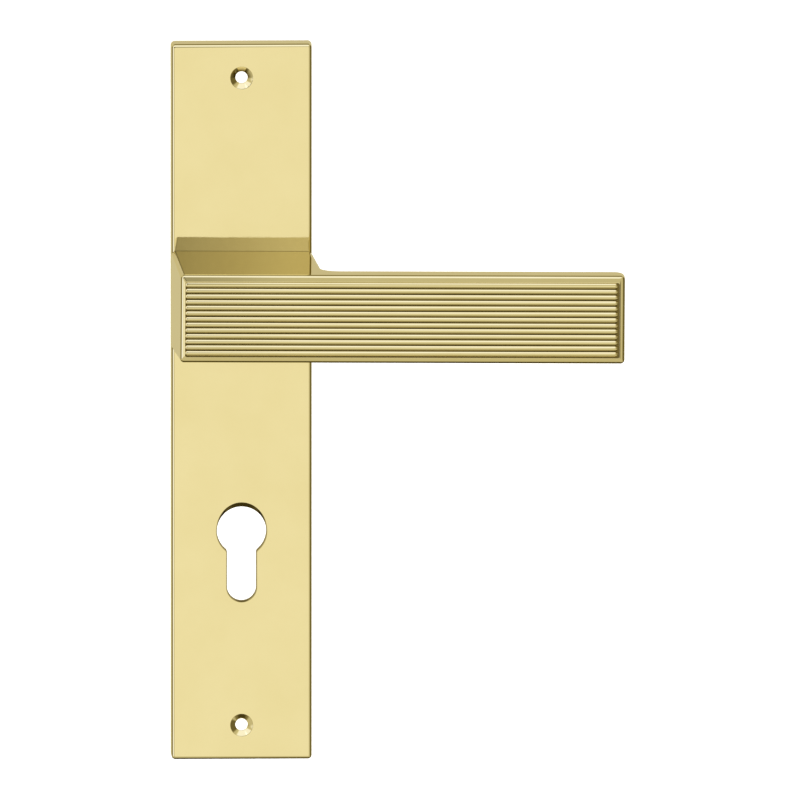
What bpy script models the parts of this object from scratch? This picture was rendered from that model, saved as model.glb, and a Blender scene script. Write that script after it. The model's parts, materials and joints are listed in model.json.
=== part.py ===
"""Sprung door lever on a long cover plate with a euro-profile keyhole.

World frame: +Z is up, the front of the handle faces -Y, and the grip points to +X. The origin lies on
the spindle's axis, in the plane of the door's face. Every piece is drawn in the door's own frame, which
has X to the right, Y up and Z out of the door, and is turned into the world by its parent empty.
"""

import math

import bmesh
import bpy

MM = 0.001
GAP = 0.3 * MM

# Cover plate: a hollow brass casting, measured from the spindle's axis and the door's face
PLATE_WIDTH = 51.6 * MM
PLATE_TOP = 94.8 * MM
PLATE_BOTTOM = -170.2 * MM
PLATE_THICKNESS = 8.0 * MM
PLATE_WALL = 1.8 * MM
PLATE_CORNER = 1.6 * MM
PLATE_EDGE = 1.2 * MM
PLATE_DRAFT = 0.15 * MM
WALL_BACK = PLATE_THICKNESS - PLATE_WALL

# Fixing holes for two countersunk wood screws
FIXING_INSET = 12.6 * MM
FIXING_RIM = 4.1 * MM
FIXING_BORE = 2.25 * MM
FIXING_SINK = 2.1 * MM
FIXING_LAND = 0.3 * MM
FIXING_RELIEF = 3.4 * MM
FIXING_BOSS = 5.5 * MM

# Euro-profile keyhole for a cylinder 85 mm below the spindle
CYLINDER_SPACING = 85.0 * MM
KEYHOLE_CENTRE = CYLINDER_SPACING + 0.4 * MM
KEYHOLE_HEAD = 9.0 * MM
KEYHOLE_SLOT = 5.3 * MM
KEYHOLE_DEPTH = 26.2 * MM
KEYHOLE_NECK = 1.6 * MM
KEYHOLE_EDGE = 0.4 * MM
KEYHOLE_CLEAR = 2.2 * MM
KEYHOLE_COLLAR = 3.2 * MM
KEYHOLE_COLLAR_BACK = 4.4 * MM

# Backing plate and its screws
BACKING_THICKNESS = 1.0 * MM
BACKING_SCREW_HEIGHTS = (62.0 * MM, 38.0 * MM, -38.0 * MM, -134.0 * MM)
SCREW_BOSS = 3.4 * MM
SCREW_HEAD = 2.7 * MM
SCREW_SHANK = 1.2 * MM
SCREW_SLOT = 0.7 * MM
SCREW_SLOT_DEPTH = 0.6 * MM

# Lever: block-shaped neck and flat bar grip, all of it one casting
NECK_BACK = PLATE_THICKNESS + 0.4 * MM
LEVER_FRONT = 53.1 * MM
NECK_HALF_WIDTH = 25.7 * MM
NECK_HALF_HEIGHT = 18.05 * MM
GRIP_HALF_HEIGHT = 16.25 * MM
GRIP_LEFT = -23.5 * MM
GRIP_TIP = 139.0 * MM
GRIP_THICKNESS = 9.4 * MM
NECK_FLARE = 0.085
ARMPIT_RADIUS = 6.5 * MM
TIP_RADIUS = 4.0 * MM
LEVER_EDGE = 1.0 * MM
LEVER_SAG = math.radians(0.4)

# Reeded insert in the grip's front
REEDS = 13
REED_PITCH = 2.095 * MM
REED_HEIGHT = 1.0 * MM
FRAME_LEFT = 2.2 * MM
FRAME_RIGHT = 1.9 * MM
RECESS_DEPTH = 2.2 * MM
REED_SINK = 0.1 * MM

# Journal, spindle and the parts that the lever turns on
NECK_WALL = 4.0 * MM
POCKET_FRONT = 38.0 * MM
BOSS_RADIUS = 12.0 * MM
JOURNAL_RADIUS = 8.0 * MM
JOURNAL_BACK = 1.3 * MM
JOURNAL_FLAT = 6.8 * MM
GROOVE_RADIUS = 7.2 * MM
GROOVE_BACK = 1.6 * MM
GROOVE_FRONT = 2.8 * MM
RING_OUTER = 10.4 * MM
RING_MOUTH = 25.0
SPINDLE_SIDE = 8.0 * MM
SPINDLE_FRONT = 36.0 * MM
SPINDLE_BACK = -58.0 * MM
SPINDLE_CLEAR = 6.5 * MM
GRUB_PLACE = 24.0 * MM
GRUB_RADIUS = 3.0 * MM
GRUB_TOP = -4.4 * MM
GRUB_FOOT = -12.5 * MM
GRUB_SOCKET = 1.7 * MM
BUSH_RADIUS = 10.3 * MM
FLANGE_RADIUS = 11.5 * MM
FLANGE_BACK = 5.2 * MM
WASHER_BACK = 4.6 * MM
WASHER_FRONT = 4.9 * MM
GLIDE_RADIUS = 11.8 * MM
GLIDE_BACK = 8.3 * MM
GLIDE_FRONT = 8.9 * MM
HUB_RADIUS = 12.4 * MM
HUB_BACK = 1.7 * MM
HUB_FRONT = 4.3 * MM

# Return spring, its housing and the stops
SPRING_TURNS = 2.5
SPRING_START = math.radians(200.0)
SPRING_INNER = 13.2 * MM
SPRING_OUTER = 19.2 * MM
SPRING_THICKNESS = 0.8 * MM
SPRING_BACK = 3.7 * MM
SPRING_FRONT = 5.7 * MM
SPRING_NOTCH = 0.8 * MM
HOUSING_INNER = 20.0 * MM
HOUSING_OUTER = 22.2 * MM
HOUSING_EAR = 25.6 * MM
HOUSING_BACK = 1.3 * MM
HOUSING_FRONT = 5.9 * MM
EAR_RADIUS = 3.4 * MM
EAR_BACK = 2.6 * MM
EAR_FRONT = 3.7 * MM
HOUSING_SCREW_HEAD = 2.3 * MM
STOP_CIRCLE = 16.5 * MM
STOP_RADIUS = 1.5 * MM
LUG_HALF_WIDTH = 3.0 * MM
LUG_TIP = 18.5 * MM
LUG_FRONT = 3.3 * MM
TRAVEL = math.radians(45.0)


def clear_scene():
    """Remove whatever the file holds."""
    for old in list(bpy.data.objects):
        bpy.data.objects.remove(old, do_unlink=True)


def make_collection(name):
    """Add an empty collection to the scene."""
    collection = bpy.data.collections.new(name)
    bpy.context.scene.collection.children.link(collection)
    return collection


def make_material(name, colour, roughness, metallic):
    """Principled material with one colour."""
    material = bpy.data.materials.new(name)
    material.use_nodes = True
    shader = material.node_tree.nodes["Principled BSDF"]
    shader.inputs["Base Color"].default_value = (*colour, 1.0)
    shader.inputs["Roughness"].default_value = roughness
    shader.inputs["Metallic"].default_value = metallic
    material.diffuse_color = (*colour, 1.0)
    return material


def make_frame(name, sag):
    """Empty on the spindle's axis that turns the door's frame into the world."""
    empty = bpy.data.objects.new(name, None)
    parts.objects.link(empty)
    empty.rotation_euler = (math.pi / 2, sag, 0.0)
    return empty


def add_mesh(name, bm, frame, material=None):
    """Object from a bmesh; with no material it is a cutter."""
    mesh = bpy.data.meshes.new(name)
    bmesh.ops.recalc_face_normals(bm, faces=bm.faces)
    bm.to_mesh(mesh)
    bm.free()
    return place(bpy.data.objects.new(name, mesh), frame, material)


def place(piece, frame, material):
    """Parent a piece and put it with the parts or with the cutters."""
    if material is None:
        cutters.objects.link(piece)
        piece.hide_render = True
        piece.display_type = "WIRE"
    else:
        parts.objects.link(piece)
        piece.data.materials.append(material)
        piece.data.shade_smooth()
        piece.data.set_sharp_from_angle(angle=math.radians(35))
    piece.parent = frame
    return piece


def combine(piece, operation, *tools):
    """Boolean modifiers on a piece, one for each tool."""
    for tool in tools:
        boolean = piece.modifiers.new(tool.name, "BOOLEAN")
        boolean.operation = operation
        boolean.object = tool
        boolean.solver = "EXACT"


def arc(centre, radius, start, end, steps):
    """Points on an arc, angles in degrees."""
    points = []
    for step in range(steps + 1):
        angle = math.radians(start + (end - start) * step / steps)
        points.append((centre[0] + radius * math.cos(angle), centre[1] + radius * math.sin(angle)))
    return points


def circle(centre, radius, steps=32):
    """Closed ring of points."""
    return arc(centre, radius, 0.0, 360.0, steps)[:-1]


def outline_bmesh(loops, low, high):
    """Flat outline with its holes, filled and given a thickness from low to high."""
    curve = bpy.data.curves.new("outline", "CURVE")
    curve.dimensions = "2D"
    curve.fill_mode = "BOTH"
    curve.extrude = (high - low) / 2
    for loop in loops:
        spline = curve.splines.new("POLY")
        spline.points.add(len(loop) - 1)
        for point, (x, y) in zip(spline.points, loop):
            point.co = (x, y, 0.0, 1.0)
        spline.use_cyclic_u = True
    guide = bpy.data.objects.new("outline", curve)
    parts.objects.link(guide)
    mesh = bpy.data.meshes.new_from_object(guide.evaluated_get(bpy.context.evaluated_depsgraph_get()))
    bpy.data.objects.remove(guide, do_unlink=True)
    bm = bmesh.new()
    bm.from_mesh(mesh)
    bpy.data.meshes.remove(mesh)
    bmesh.ops.remove_doubles(bm, verts=bm.verts, dist=0.001 * MM)
    bmesh.ops.translate(bm, verts=bm.verts, vec=(0.0, 0.0, (low + high) / 2))
    return bm


def add_flat(name, loops, low, high, frame, material=None):
    """Piece cut from flat stock."""
    return add_mesh(name, outline_bmesh(loops, low, high), frame, material)


def box_bmesh(low, high):
    """Box between two corners."""
    bm = bmesh.new()
    bmesh.ops.create_cube(bm, size=1.0)
    bmesh.ops.scale(bm, verts=bm.verts, vec=[b - a for a, b in zip(low, high)])
    bmesh.ops.translate(bm, verts=bm.verts, vec=[(a + b) / 2 for a, b in zip(low, high)])
    return bm


def add_box(name, low, high, frame, material=None):
    """Box as an object."""
    return add_mesh(name, box_bmesh(low, high), frame, material)


def add_turned(name, profile, frame, material=None, centre=(0.0, 0.0), steps=48):
    """Solid turned round Z from (radius, height) points that run down its outer side.

    A profile that starts away from the axis is closed on itself, and gives a ring.
    """
    count = len(profile)
    edges = [(index, index + 1) for index in range(count - 1)]
    if profile[0][0] > 0.0:
        edges.append((count - 1, 0))
    mesh = bpy.data.meshes.new(name)
    mesh.from_pydata([(radius, 0.0, height) for radius, height in profile], edges, [])
    turned = bpy.data.objects.new(name, mesh)
    screw = turned.modifiers.new("Turn", "SCREW")
    screw.steps = steps
    screw.render_steps = steps
    screw.use_merge_vertices = True
    screw.merge_threshold = 0.001 * MM
    turned.location = (centre[0], centre[1], 0.0)
    return place(turned, frame, material)


def rod_profile(radius, low, high):
    """Profile of a plain solid rod."""
    return [(0.0, high), (radius, high), (radius, low), (0.0, low)]


def ring_profile(inner, outer, low, high):
    """Profile of a plain ring."""
    return [(outer, high), (outer, low), (inner, low), (inner, high)]


def add_rod(name, radius, low, high, frame, material=None, centre=(0.0, 0.0), steps=32):
    """Plain rod along Z."""
    return add_turned(name, rod_profile(radius, low, high), frame, material, centre, steps)


def keyhole(grow):
    """Euro-profile outline, grown outwards all round."""
    head_y = -KEYHOLE_CENTRE
    reach = KEYHOLE_HEAD + KEYHOLE_NECK
    neck_x = KEYHOLE_SLOT + KEYHOLE_NECK
    neck_y = head_y - math.sqrt(reach * reach - neck_x * neck_x)
    lean = math.degrees(math.atan2(neck_y - head_y, neck_x))
    foot_y = head_y - KEYHOLE_DEPTH + KEYHOLE_SLOT
    right = arc((0.0, head_y), KEYHOLE_HEAD + grow, 90.0, lean, 20)
    right += arc((neck_x, neck_y), KEYHOLE_NECK - grow, lean + 180.0, 180.0, 4)
    right += arc((0.0, foot_y), KEYHOLE_SLOT + grow, 0.0, -90.0, 10)
    left = [(-x, y) for x, y in reversed(right[1:-1])]
    return right + left


def keyhole_cutter():
    """Keyhole through the plate, opening out at its front in a quarter round."""
    bm = bmesh.new()
    levels = [(0.0, -2.0 * MM)]
    for angle in (0.0, 22.5, 45.0, 67.5, 90.0):
        turn = math.radians(angle)
        height = PLATE_THICKNESS - KEYHOLE_EDGE * (1.0 - math.sin(turn))
        levels.append((KEYHOLE_EDGE * (1.0 - math.cos(turn)), height))
    levels.append((KEYHOLE_EDGE, PLATE_THICKNESS + 2.0 * MM))
    rings = []
    for grow, height in levels:
        rings.append([bm.verts.new((x, y, height)) for x, y in keyhole(grow)])
    for lower, upper in zip(rings, rings[1:]):
        edges = []
        for ring in (lower, upper):
            for index in range(len(ring)):
                pair = (ring[index - 1], ring[index])
                edges.append(bm.edges.get(pair) or bm.edges.new(pair))
        bmesh.ops.bridge_loops(bm, edges=edges)
    bm.faces.new(rings[0])
    bm.faces.new(rings[-1])
    return add_mesh("keyhole_cutter", bm, door)


def cover_plate(brass):
    """Hollow cover: outer block, cavity, bosses, then every hole."""
    half = PLATE_WIDTH / 2
    bm = box_bmesh((-half, PLATE_BOTTOM, 0.0), (half, PLATE_TOP, PLATE_THICKNESS))
    for vert in bm.verts:
        if vert.co.z > PLATE_WALL:
            vert.co.x -= math.copysign(PLATE_DRAFT, vert.co.x)
            vert.co.y -= math.copysign(PLATE_DRAFT, vert.co.y)
    upright = [e for e in bm.edges if abs(e.verts[0].co.z - e.verts[1].co.z) > PLATE_WALL]
    bmesh.ops.bevel(bm, geom=upright, offset=PLATE_CORNER, segments=4, profile=0.5, affect="EDGES")
    front = [e for e in bm.edges if all(v.co.z > PLATE_THICKNESS - 0.01 * MM for v in e.verts)]
    bmesh.ops.bevel(bm, geom=front, offset=PLATE_EDGE, segments=4, profile=0.5, affect="EDGES")
    cover = add_mesh("cover_plate", bm, door, brass)

    inner = half - PLATE_WALL
    cavity = add_box("cover_cavity", (-inner, PLATE_BOTTOM + PLATE_WALL, -2.0 * MM),
                     (inner, PLATE_TOP - PLATE_WALL, WALL_BACK), door)
    combine(cover, "DIFFERENCE", cavity)

    sunk = WALL_BACK + 0.2 * MM
    for name, y in fixing_places():
        boss = add_rod(name + "_boss", FIXING_BOSS, 0.0, sunk, door, centre=(0.0, y), steps=36)
        combine(cover, "UNION", boss)
    for index, y in enumerate(BACKING_SCREW_HEIGHTS, 1):
        boss = add_rod(f"backing_boss_{index}", SCREW_BOSS, BACKING_THICKNESS + GAP, sunk, door,
                       centre=(0.0, y), steps=24)
        combine(cover, "UNION", boss)
    for side in (1, -1):
        boss = add_rod(f"housing_boss_{side}", SCREW_BOSS, EAR_FRONT + GAP, sunk, door,
                       centre=(0.0, side * HOUSING_EAR), steps=24)
        combine(cover, "UNION", boss)
    collar = add_flat("keyhole_collar", [keyhole_collar_outline()], KEYHOLE_COLLAR_BACK, sunk, door)
    combine(cover, "UNION", collar)

    combine(cover, "DIFFERENCE", keyhole_cutter())
    combine(cover, "DIFFERENCE", add_rod("bush_hole", BUSH_RADIUS + GAP, 0.0, 10.0 * MM, door, steps=48))
    for name, y in fixing_places():
        combine(cover, "DIFFERENCE", fixing_cutter(name, y))
    for index, y in enumerate(BACKING_SCREW_HEIGHTS, 1):
        hole = add_turned(f"backing_thread_{index}", screw_hole_profile(), door, centre=(0.0, y), steps=16)
        combine(cover, "DIFFERENCE", hole)
    for side in (1, -1):
        hole = add_rod(f"housing_thread_{side}", SCREW_SHANK + GAP, EAR_BACK, WALL_BACK + GAP, door,
                       centre=(0.0, side * HOUSING_EAR), steps=16)
        combine(cover, "DIFFERENCE", hole)
    return cover


def fixing_places():
    """Names and heights of the two fixing holes."""
    return (("upper_fixing", PLATE_TOP - FIXING_INSET), ("lower_fixing", PLATE_BOTTOM + FIXING_INSET))


def fixing_cutter(name, y):
    """Bowl-shaped countersink, a short land, and a wide relief behind it."""
    floor = PLATE_THICKNESS - FIXING_SINK
    profile = [(0.0, PLATE_THICKNESS + 1.0 * MM), (FIXING_RIM, PLATE_THICKNESS + 1.0 * MM)]
    for angle in (0.0, 18.0, 36.0, 54.0, 72.0):
        turn = math.radians(angle)
        radius = FIXING_BORE + (FIXING_RIM - FIXING_BORE) * math.cos(turn)
        profile.append((radius, PLATE_THICKNESS - FIXING_SINK * math.sin(turn)))
    profile += [(FIXING_BORE, floor), (FIXING_BORE, floor - FIXING_LAND),
                (FIXING_RELIEF, floor - FIXING_LAND), (FIXING_RELIEF, -1.0 * MM), (0.0, -1.0 * MM)]
    return add_turned(name + "_cutter", profile, door, centre=(0.0, y), steps=32)


def keyhole_collar_outline():
    """Thicker wall round the keyhole: a plain stadium that holds it."""
    head = KEYHOLE_HEAD + KEYHOLE_COLLAR
    foot_y = -KEYHOLE_CENTRE - KEYHOLE_DEPTH + KEYHOLE_HEAD
    return arc((0.0, -KEYHOLE_CENTRE), head, 0.0, 180.0, 20) + arc((0.0, foot_y), head, 180.0, 360.0, 20)


def screw_hole_profile():
    """Threaded hole for a backing screw, opened for the cone under its head."""
    mouth = SCREW_HEAD - 0.4 * MM
    depth = BACKING_THICKNESS + 1.2 * MM
    return [(0.0, WALL_BACK), (SCREW_SHANK + GAP, WALL_BACK), (SCREW_SHANK + GAP, depth),
            (mouth, BACKING_THICKNESS), (mouth, 0.0), (0.0, 0.0)]


def backing_plate(steel):
    """Flat steel sheet inside the cover's rim, flush with it on the door."""
    half = PLATE_WIDTH / 2 - PLATE_WALL - GAP
    low = PLATE_BOTTOM + PLATE_WALL + GAP
    high = PLATE_TOP - PLATE_WALL - GAP
    loops = [[(-half, low), (half, low), (half, high), (-half, high)], keyhole_clear_outline()]
    loops.append(circle((0.0, 0.0), SPINDLE_CLEAR, 32))
    for _, y in fixing_places():
        loops.append(circle((0.0, y), FIXING_BOSS + GAP, 36))
    for x, y in stop_places():
        loops.append(circle((x, y), STOP_RADIUS + GAP, 20))
    sheet = add_flat("backing_plate", loops, 0.0, BACKING_THICKNESS, door, steel)
    for index, y in enumerate(BACKING_SCREW_HEIGHTS, 1):
        throat = SCREW_HEAD - 0.7 * MM
        seat = [(0.0, 2.0 * MM), (throat, 2.0 * MM), (throat, BACKING_THICKNESS),
                (SCREW_HEAD + GAP, 0.0), (SCREW_HEAD + GAP, -MM), (0.0, -MM)]
        combine(sheet, "DIFFERENCE", add_turned(f"backing_seat_{index}", seat, door,
                                                centre=(0.0, y), steps=24))
    return sheet


def keyhole_clear_outline():
    """Wider keyhole in the backing plate, where head and slot meet in a plain corner."""
    head = KEYHOLE_HEAD + KEYHOLE_CLEAR
    slot = KEYHOLE_SLOT + KEYHOLE_CLEAR
    lean = math.degrees(math.asin(slot / head))
    foot_y = -KEYHOLE_CENTRE - KEYHOLE_DEPTH + KEYHOLE_SLOT
    return (arc((0.0, -KEYHOLE_CENTRE), head, lean - 90.0, 270.0 - lean, 28)
            + arc((0.0, foot_y), slot, 180.0, 360.0, 14))


def add_screw(name, profile, low, frame, material, centre):
    """Screw with a straight driver slot across its head."""
    screw = add_turned(name, profile, frame, material, centre=centre, steps=20)
    x, y = centre
    slot = add_box(name + "_slot", (x - 4.0 * MM, y - SCREW_SLOT / 2, low - MM),
                   (x + 4.0 * MM, y + SCREW_SLOT / 2, low + SCREW_SLOT_DEPTH), frame)
    combine(screw, "DIFFERENCE", slot)
    return screw


def backing_screws(steel):
    """Countersunk screws from the door side into the cover's bosses."""
    low = 0.05 * MM
    profile = [(0.0, 5.8 * MM), (SCREW_SHANK, 5.8 * MM), (SCREW_SHANK, 1.5 * MM), (SCREW_HEAD, low),
               (0.0, low)]
    for index, y in enumerate(BACKING_SCREW_HEIGHTS, 1):
        add_screw(f"backing_screw_{index}", profile, low, door, steel, (0.0, y))


def housing_screws(steel):
    """Cheese-head screws through the housing's ears."""
    low = BACKING_THICKNESS + GAP
    under_head = EAR_BACK - GAP
    profile = [(0.0, WALL_BACK), (SCREW_SHANK, WALL_BACK), (SCREW_SHANK, under_head),
               (HOUSING_SCREW_HEAD, under_head), (HOUSING_SCREW_HEAD, low), (0.0, low)]
    for index, side in enumerate((1, -1), 1):
        add_screw(f"housing_screw_{index}", profile, low, door, steel, (0.0, side * HOUSING_EAR))


def spring_housing(steel):
    """Ring round the spring with two ears, and a notch for the spring's outer end."""
    ring = ring_profile(HOUSING_INNER, HOUSING_OUTER, HOUSING_BACK, HOUSING_FRONT)
    housing = add_turned("spring_housing", ring,
                         door, steel, steps=64)
    for side in (1, -1):
        ear_y = side * HOUSING_EAR
        root_y = side * (HOUSING_INNER + 1.0 * MM)
        root_x = EAR_RADIUS + 1.1 * MM
        outline = [(-root_x, root_y), (root_x, root_y)]
        outline += arc((0.0, ear_y), EAR_RADIUS, 0.0, side * 180.0, 8)
        ear = add_flat(f"housing_ear_{side}", [outline], EAR_BACK, EAR_FRONT, door)
        hole = add_rod(f"housing_ear_hole_{side}", SCREW_SHANK + GAP, EAR_BACK - MM, EAR_FRONT + MM, door,
                       centre=(0.0, ear_y), steps=20)
        combine(housing, "UNION", ear)
        combine(housing, "DIFFERENCE", hole)
    notch = add_box("housing_notch", (HOUSING_INNER - MM, -SPRING_NOTCH, SPRING_BACK - GAP),
                    (HOUSING_INNER + 1.4 * MM, SPRING_NOTCH, SPRING_FRONT + GAP), door)
    notch.rotation_euler = (0.0, 0.0, spring_angle(1.0))
    combine(housing, "DIFFERENCE", notch)
    return housing


def bearing_bush(nylon):
    """Nylon bush in the cover, with its flange behind the wall."""
    inner = JOURNAL_RADIUS + GAP
    profile = [(BUSH_RADIUS, PLATE_THICKNESS - 0.1 * MM), (BUSH_RADIUS, WALL_BACK - GAP),
               (FLANGE_RADIUS, WALL_BACK - GAP), (FLANGE_RADIUS, FLANGE_BACK),
               (inner, FLANGE_BACK), (inner, PLATE_THICKNESS - 0.1 * MM)]
    return add_turned("bearing_bush", profile, door, nylon, steps=40)


def stop_places():
    """Centres of the stop pins: each just clears the hub's lug at one end of its travel."""
    offset = math.asin((LUG_HALF_WIDTH + STOP_RADIUS + GAP) / STOP_CIRCLE)
    angle = TRAVEL / 2 + offset
    x = STOP_CIRCLE * math.sin(angle)
    y = STOP_CIRCLE * math.cos(angle)
    return ((-x, y), (x, y))


def stop_pins(steel):
    """Two pins riveted in the backing plate, either side of the hub's lug."""
    for name, centre in zip(("stop_pin_rest", "stop_pin_down"), stop_places()):
        add_rod(name, STOP_RADIUS, 0.1 * MM, 3.4 * MM, door, steel, centre, steps=20)


def spring_angle(share):
    """Direction of a point of the spring, from its inner end at 0 to its outer end at 1."""
    return SPRING_START + share * SPRING_TURNS * 2.0 * math.pi


def return_spring(spring_steel):
    """Flat spiral with both ends bent to hook in the hub and in the housing."""
    steps = 60
    path = [(FLANGE_RADIUS + GAP, spring_angle(0.0))]
    for step in range(steps + 1):
        share = step / steps
        path.append((SPRING_INNER + (SPRING_OUTER - SPRING_INNER) * share, spring_angle(share)))
    path.append((SPRING_OUTER + 1.6 * MM, spring_angle(1.0)))
    points = [(r * math.cos(a), r * math.sin(a)) for r, a in path]
    bm = bmesh.new()
    verts = [bm.verts.new((x, y, SPRING_BACK)) for x, y in points]
    edges = [bm.edges.new(pair) for pair in zip(verts, verts[1:])]
    walls = bmesh.ops.extrude_edge_only(bm, edges=edges)["geom"]
    moved = [item for item in walls if isinstance(item, bmesh.types.BMVert)]
    bmesh.ops.translate(bm, verts=moved, vec=(0.0, 0.0, SPRING_FRONT - SPRING_BACK))
    spring = add_mesh("return_spring", bm, door, spring_steel)
    strip = spring.modifiers.new("Strip", "SOLIDIFY")
    strip.thickness = SPRING_THICKNESS
    strip.offset = 0.0
    return spring


def lever_half_height(height):
    """Half of the lever's height at a height above the door: it tapers towards its front."""
    share = (height - NECK_BACK) / (LEVER_FRONT - NECK_BACK)
    return NECK_HALF_HEIGHT + (GRIP_HALF_HEIGHT - NECK_HALF_HEIGHT) * share


def lever_plan():
    """Lever seen from above: X to the right, Y out of the door."""
    grip_back = LEVER_FRONT - GRIP_THICKNESS
    lean = math.atan(NECK_FLARE)
    corner_x = NECK_HALF_WIDTH + NECK_FLARE * (grip_back - NECK_BACK)
    tangent = ARMPIT_RADIUS * math.tan((math.pi / 2 - lean) / 2)
    centre = (corner_x + tangent, grip_back - ARMPIT_RADIUS)
    plan = [(GRIP_LEFT, LEVER_FRONT), (-NECK_HALF_WIDTH, NECK_BACK), (NECK_HALF_WIDTH, NECK_BACK)]
    plan += arc(centre, ARMPIT_RADIUS, 180.0 - math.degrees(lean), 90.0, 6)
    plan += arc((GRIP_TIP - TIP_RADIUS, grip_back + TIP_RADIUS), TIP_RADIUS, -90.0, 0.0, 5)
    plan += [(GRIP_TIP, LEVER_FRONT)]
    return plan


def lever_block():
    """Plan outline carried from bottom to top, tapered, with its outer edges rounded."""
    bm = outline_bmesh([lever_plan()], -1.0, 1.0)
    for vert in bm.verts:
        x, height, side = vert.co
        vert.co = (x, -side * lever_half_height(height), height)
    bmesh.ops.dissolve_limit(bm, angle_limit=math.radians(1.0), verts=bm.verts, edges=bm.edges)
    bm.normal_update()
    edges = []
    for edge in bm.edges:
        on_back = all(v.co.z < NECK_BACK + 0.01 * MM for v in edge.verts)
        if not on_back and edge.calc_face_angle() > math.radians(40):
            edges.append(edge)
    bmesh.ops.bevel(bm, geom=edges, offset=LEVER_EDGE, segments=3, profile=0.5, affect="EDGES")
    return bm


def recess_box():
    """Corners of the recess for the insert, in the lever's front."""
    half = REEDS * REED_PITCH / 2 + GAP
    low = (GRIP_LEFT + FRAME_LEFT, -half, LEVER_FRONT - RECESS_DEPTH)
    high = (GRIP_TIP - FRAME_RIGHT, half, LEVER_FRONT + 2.0 * MM)
    return low, high


def lever_body(brass):
    """Casting: block, pocket behind the neck, boss, journal, and the holes in them."""
    body = add_mesh("lever_body", lever_block(), lever, brass)
    side = NECK_HALF_WIDTH - NECK_WALL
    rise = GRIP_HALF_HEIGHT - NECK_WALL + 1.0 * MM
    pocket = add_box("neck_pocket", (-side + 1.5 * MM, -rise, 0.0), (side, rise, POCKET_FRONT), lever)
    combine(body, "DIFFERENCE", pocket)
    boss = add_rod("neck_boss", BOSS_RADIUS, NECK_BACK + 0.8 * MM, POCKET_FRONT + 2.0 * MM, lever, steps=32)
    combine(body, "UNION", boss)

    rooted = NECK_BACK + 10.0 * MM
    profile = [(0.0, rooted), (JOURNAL_RADIUS, rooted), (JOURNAL_RADIUS, GROOVE_FRONT),
               (GROOVE_RADIUS, GROOVE_FRONT), (GROOVE_RADIUS, GROOVE_BACK), (JOURNAL_RADIUS, GROOVE_BACK),
               (JOURNAL_RADIUS, JOURNAL_BACK), (0.0, JOURNAL_BACK)]
    combine(body, "UNION", add_turned("journal", profile, lever, steps=40))
    for sign in (1, -1):
        near = sign * JOURNAL_FLAT
        far = sign * 2.0 * JOURNAL_RADIUS
        flat = add_box(f"journal_flat_{sign}", (min(near, far), -JOURNAL_RADIUS, GROOVE_FRONT - GAP),
                       (max(near, far), JOURNAL_RADIUS, HUB_FRONT + 0.1 * MM), lever)
        combine(body, "DIFFERENCE", flat)

    half = SPINDLE_SIDE / 2 + GAP
    square = add_box("spindle_hole", (-half, -half, 0.0), (half, half, SPINDLE_FRONT + GAP), lever)
    tap = add_rod("grub_hole", GRUB_RADIUS + GAP, -30.0 * MM, -3.9 * MM, lever, steps=20)
    tap.rotation_euler = (-math.pi / 2, 0.0, 0.0)
    tap.location = (0.0, 0.0, GRUB_PLACE)
    recess = add_box("insert_recess", *recess_box(), lever)
    combine(body, "DIFFERENCE", square, tap, recess)
    return body


def grub_screw(steel):
    """Set screw in the boss, under the spindle."""
    profile = [(0.0, GRUB_TOP), (GRUB_RADIUS - 0.8 * MM, GRUB_TOP), (GRUB_RADIUS, GRUB_TOP - 0.8 * MM),
               (GRUB_RADIUS, GRUB_FOOT), (0.0, GRUB_FOOT)]
    screw = add_turned("grub_screw", profile, lever, steel, steps=20)
    socket_profile = rod_profile(GRUB_SOCKET, GRUB_FOOT - 1.0 * MM, GRUB_FOOT + 2.5 * MM)
    socket = add_turned("grub_socket", socket_profile, lever, steps=6)
    for piece in (screw, socket):
        piece.rotation_euler = (-math.pi / 2, 0.0, 0.0)
        piece.location = (0.0, 0.0, GRUB_PLACE)
    combine(screw, "DIFFERENCE", socket)
    return screw


def reed_rise(x, y, left, right):
    """Height of the half-round reeds over their roots, with round ends."""
    pitch_share = (y / REED_PITCH + REEDS / 2) % 1.0
    across = 2.0 * abs(pitch_share - 0.5)
    end = min(x - left, right - x)
    along = max(0.0, 1.0 - end / (REED_PITCH / 2))
    return REED_HEIGHT * math.sqrt(max(0.0, 1.0 - max(across, along) ** 2))


def reeded_insert(brass):
    """Panel whose face is a row of half-round reeds."""
    low, high = recess_box()
    left = low[0] + GAP
    right = high[0] - GAP
    bottom = low[1] + GAP
    roots = LEVER_FRONT - REED_SINK - REED_HEIGHT
    steps = 6
    end_run = REED_PITCH / 2
    stations = [left + end_run * (1.0 - math.cos(math.radians(a))) for a in (0, 30, 60, 90)]
    stations += [left + right - x for x in reversed(stations)]
    rows = []
    for index in range(REEDS * steps + 1):
        reed, part = divmod(index, steps)
        swing = -math.cos(math.pi * part / steps)
        rows.append(bottom + REED_PITCH * (reed + 0.5 + swing / 2))
    bm = bmesh.new()
    bmesh.ops.create_grid(bm, x_segments=len(stations) - 1, y_segments=len(rows) - 1, size=1.0)
    for vert in bm.verts:
        column = round((vert.co.x + 1.0) / 2.0 * (len(stations) - 1))
        row = round((vert.co.y + 1.0) / 2.0 * (len(rows) - 1))
        x = stations[column]
        y = rows[row]
        crest = row % steps / steps
        rise = 0.0
        if 0.0 < crest < 1.0:
            rise = reed_rise(x, y, left, right)
        vert.co = (x, y, roots + rise)
    rim = [edge for edge in bm.edges if edge.is_boundary]
    skirt = bmesh.ops.extrude_edge_only(bm, edges=rim)["geom"]
    base = low[2] + GAP
    for item in skirt:
        if isinstance(item, bmesh.types.BMVert):
            item.co.z = base
    bmesh.ops.holes_fill(bm, edges=[edge for edge in bm.edges if edge.is_boundary])
    return add_mesh("reeded_insert", bm, lever, brass)


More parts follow.
